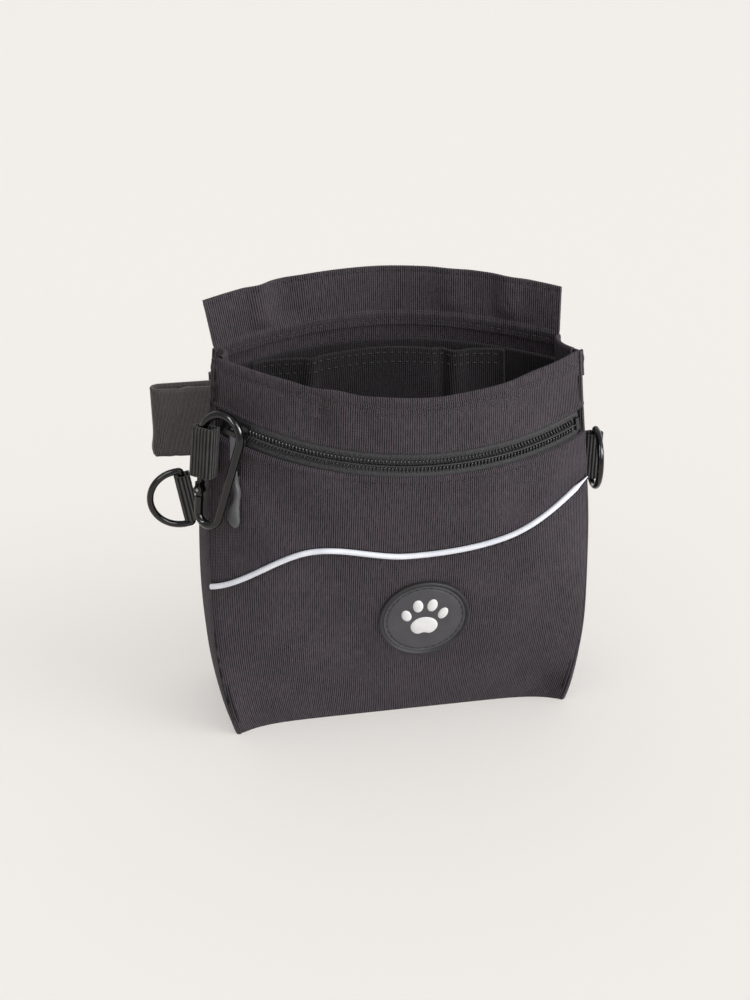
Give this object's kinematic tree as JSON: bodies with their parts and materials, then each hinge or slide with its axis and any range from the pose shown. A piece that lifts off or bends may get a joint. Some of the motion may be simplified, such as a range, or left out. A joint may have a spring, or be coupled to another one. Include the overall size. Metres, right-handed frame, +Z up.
{
  "type": "treat pouch",
  "caption": "Free-standing canvas treat pouch with an open mouth, short flap, curved zip pocket, carabiner, D-rings and a folded waist belt.",
  "frame": {"origin": "under the middle of the base, on the surface it stands on", "axes": "+X to the pouch's right as seen from the front, -Y out of the front with the zip and badge, +Z up"},
  "size_m": [0.2116, 0.098, 0.2081],
  "materials": {
    "canvas": "matt ribbed canvas",
    "lining": "plain woven lining",
    "board": "moulded board",
    "reflective": "reflective tape round a cord",
    "badge_rubber": "moulded soft rubber",
    "emblem_rubber": "moulded soft rubber",
    "zip_tape": "woven tape",
    "zip_coil": "nylon coil",
    "slider_metal": "black enamel on die-cast metal",
    "tab_metal": "dark nickel plate",
    "pull_rubber": "moulded soft rubber",
    "clip_metal": "glossy black enamel",
    "pin_steel": "plain steel",
    "webbing": "ribbed webbing",
    "ring_metal": "glossy black enamel",
    "belt_webbing": "soft flat webbing",
    "buckle_plastic": "moulded acetal"
  },
  "bodies": {
    "bag": {"front_upper_panel": "canvas", "front_middle_panel": "canvas", "front_lower_panel": "canvas", "left_gusset": "canvas", "right_gusset": "canvas", "back_panel": "canvas", "bottom_panel": "canvas", "base_board": "board", "front_lining": "lining", "back_lining": "lining", "left_lining": "lining", "right_lining": "lining", "bottom_lining": "lining", "zip_pocket_backing": "lining", "inner_pocket": "canvas", "reflective_piping": "reflective", "rubber_badge": "badge_rubber", "badge_emblem": "emblem_rubber", "upper_zip_tape": "zip_tape", "lower_zip_tape": "zip_tape", "upper_zip_coil": "zip_coil", "lower_zip_coil": "zip_coil", "zip_end_stops": "zip_coil", "carabiner_loop": "webbing", "left_ring_loop": "webbing", "right_ring_loop": "webbing", "belt_tunnel": "canvas", "waist_belt": "belt_webbing", "buckle_socket": "buckle_plastic", "buckle_tongue": "buckle_plastic"},
    "flap": {"flap_outer": "canvas", "flap_facing": "canvas"},
    "slider": {"zip_slider": "slider_metal"},
    "pull_tab": {"zip_pull_tab": "tab_metal"},
    "pull_grip": {"rubber_pull": "pull_rubber"},
    "carabiner": {"carabiner_body": "clip_metal", "gate_pin": "pin_steel"},
    "gate": {"carabiner_gate": "clip_metal"},
    "left_ring": {"left_ring": "ring_metal"},
    "right_ring": {"right_ring": "ring_metal"},
    "adjuster": {"belt_adjuster": "buckle_plastic"},
    "keeper": {"belt_keeper": "buckle_plastic"}
  },
  "joints": [
    {"name": "flap_fold", "type": "hinge", "parent": "bag", "child": "flap", "pos_m": [-0.07929, 0.00831, 0.18038], "axis": [0.998, -0.0632, 0], "range_deg": [0, 70]},
    {"name": "zip_slide", "type": "hinge", "parent": "bag", "child": "slider", "pos_m": [0.011, 0.07968, 0.18351], "axis": [0, -0.3355, 0.9421], "range_deg": [0, 47]},
    {"name": "pull_tab_swing", "type": "hinge", "parent": "slider", "child": "pull_tab", "pos_m": [-0.07384, -0.01646, 0.15031], "axis": [-0.6035, -0.794, 0.0733], "range_deg": [0, 15]},
    {"name": "pull_grip_swing", "type": "hinge", "parent": "pull_tab", "child": "pull_grip", "pos_m": [-0.07485, -0.0196, 0.13292], "axis": [-0.6008, -0.78, 0.1753], "range_deg": [0, 40]},
    {"name": "carabiner_swing", "type": "hinge", "parent": "bag", "child": "carabiner", "pos_m": [-0.08855, -0.01242, 0.1415], "axis": [0.1154, 0.1439, 0.9828], "range_deg": [-70, 0]},
    {"name": "gate_open", "type": "hinge", "parent": "carabiner", "child": "gate", "pos_m": [-0.0906, -0.01498, 0.12401], "axis": [0.6149, 0.7667, -0.1845], "range_deg": [0, 5], "stiffness_Nm_per_rad": 0.05, "springref_deg": -11.46},
    {"name": "left_ring_swing", "type": "hinge", "parent": "bag", "child": "left_ring", "pos_m": [-0.09612, -0.00214, 0.11444], "axis": [-0.1564, 0, 0.9877], "range_deg": [-45, 30]},
    {"name": "right_ring_swing", "type": "hinge", "parent": "bag", "child": "right_ring", "pos_m": [0.09349, -0.00923, 0.123], "axis": [0, 0, 1], "range_deg": [0, 60]},
    {"name": "adjuster_slide", "type": "slide", "parent": "bag", "child": "adjuster", "axis": [1, 0, 0], "range_m": [-0.01, 0.01]},
    {"name": "keeper_slide", "type": "slide", "parent": "bag", "child": "keeper", "axis": [1, 0, 0], "range_m": [0, 0.003]}
  ]
}
